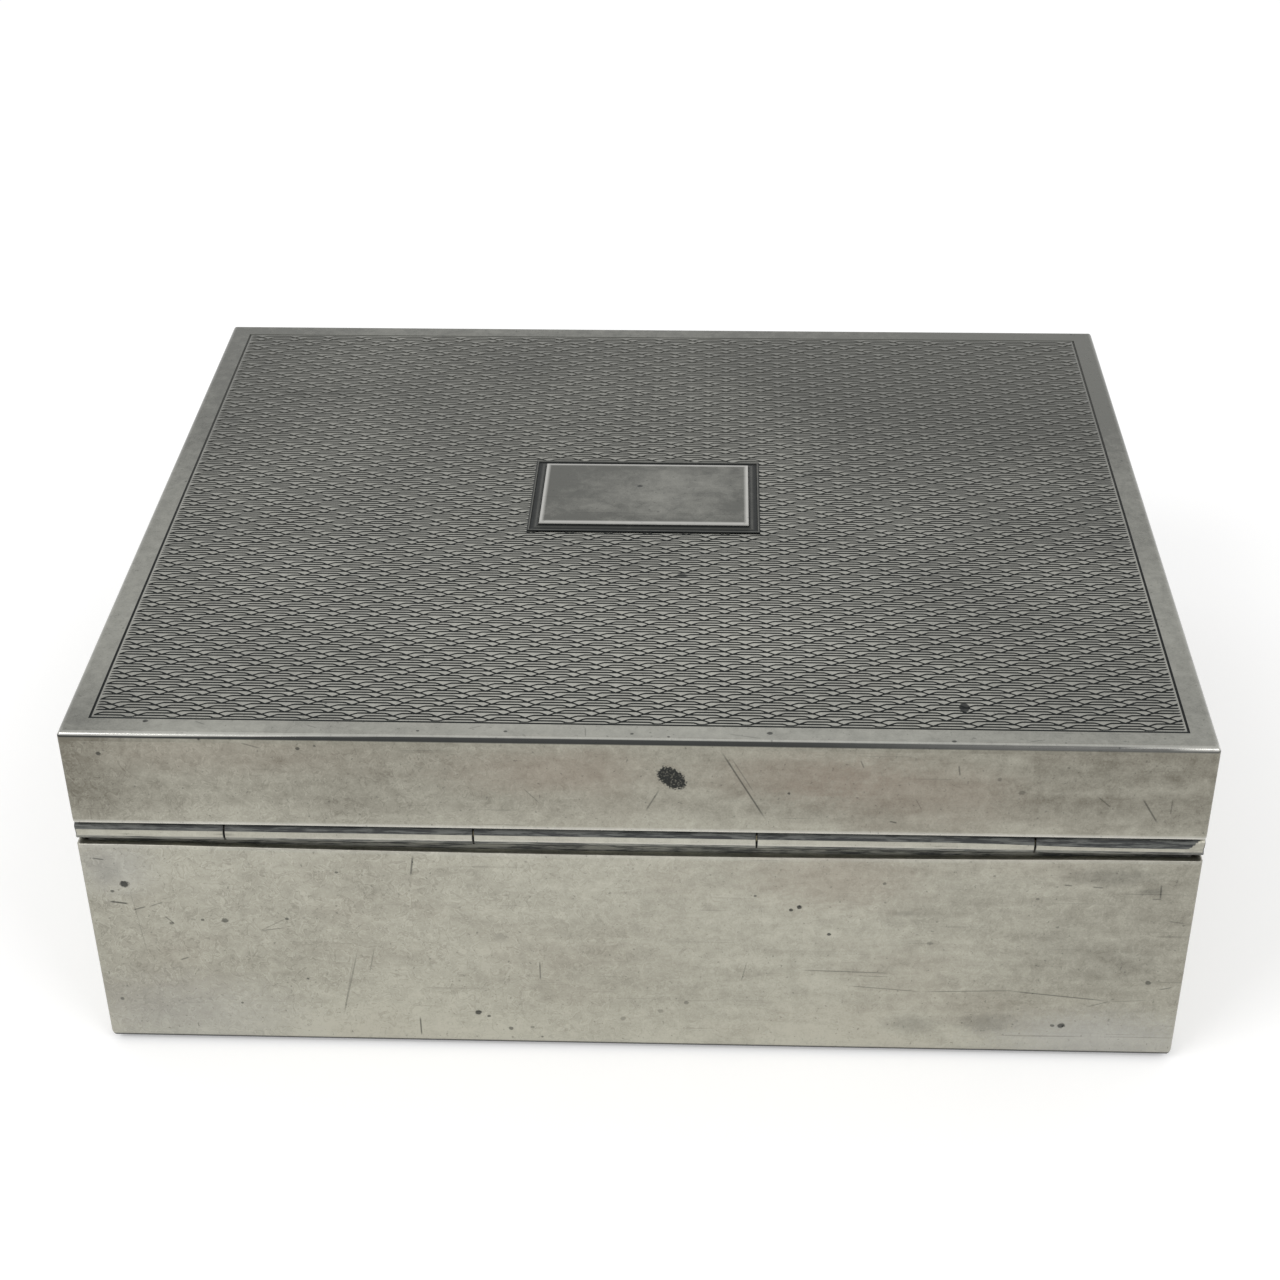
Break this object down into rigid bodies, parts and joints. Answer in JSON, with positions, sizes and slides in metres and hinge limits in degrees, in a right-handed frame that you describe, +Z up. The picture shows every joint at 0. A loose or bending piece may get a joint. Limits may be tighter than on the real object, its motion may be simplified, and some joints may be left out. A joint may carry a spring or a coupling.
{
  "type": "cigarette box",
  "caption": "Rectangular silver table cigarette box with a flush-jointed lid, engine-turned top, vacant raised cartouche and a cedar-lined inside that holds cigarettes.",
  "frame": {"origin": "on the table, under the middle of the box", "axes": "+X along the width, to the right when seen from the opening side; +Y towards the joint at the back; +Z up"},
  "size_m": [0.108, 0.0886, 0.0393],
  "materials": {
    "silver_wall": "plain silver, satin with age, lightly tarnished and scratched",
    "silver_engine_turned": "silver with fine engine-turned waves, dark in the cuts",
    "silver_cartouche": "plain silver tablet in a dark stepped moulding",
    "silver_joint": "bright worn tube, dark in the channel",
    "pin_wire": "drawn wire",
    "cedar": "bare cedar, planed",
    "baize": "short wool nap"
  },
  "bodies": {
    "body": {"body_band": "silver_wall", "base_board": "cedar", "base_baize": "baize", "lining_floor": "cedar", "lining_front": "cedar", "lining_back": "cedar", "lining_right": "cedar", "lining_left": "cedar", "compartment_divider": "cedar", "body_joint_bearer": "silver_joint", "body_knuckle_left": "silver_joint", "body_knuckle_middle": "silver_joint", "body_knuckle_right": "silver_joint", "hinge_pin": "pin_wire"},
    "lid": {"lid_band": "silver_wall", "lid_top_plate": "silver_engine_turned", "cartouche": "silver_cartouche", "lid_joint_bearer": "silver_joint", "lid_knuckle_left": "silver_joint", "lid_knuckle_right": "silver_joint"}
  },
  "joints": [
    {"name": "lid_hinge", "type": "hinge", "parent": "body", "child": "lid", "pos_m": [0, 0.0431, 0.027], "axis": [-1, 0, 0], "range_deg": [0, 93]}
  ]
}
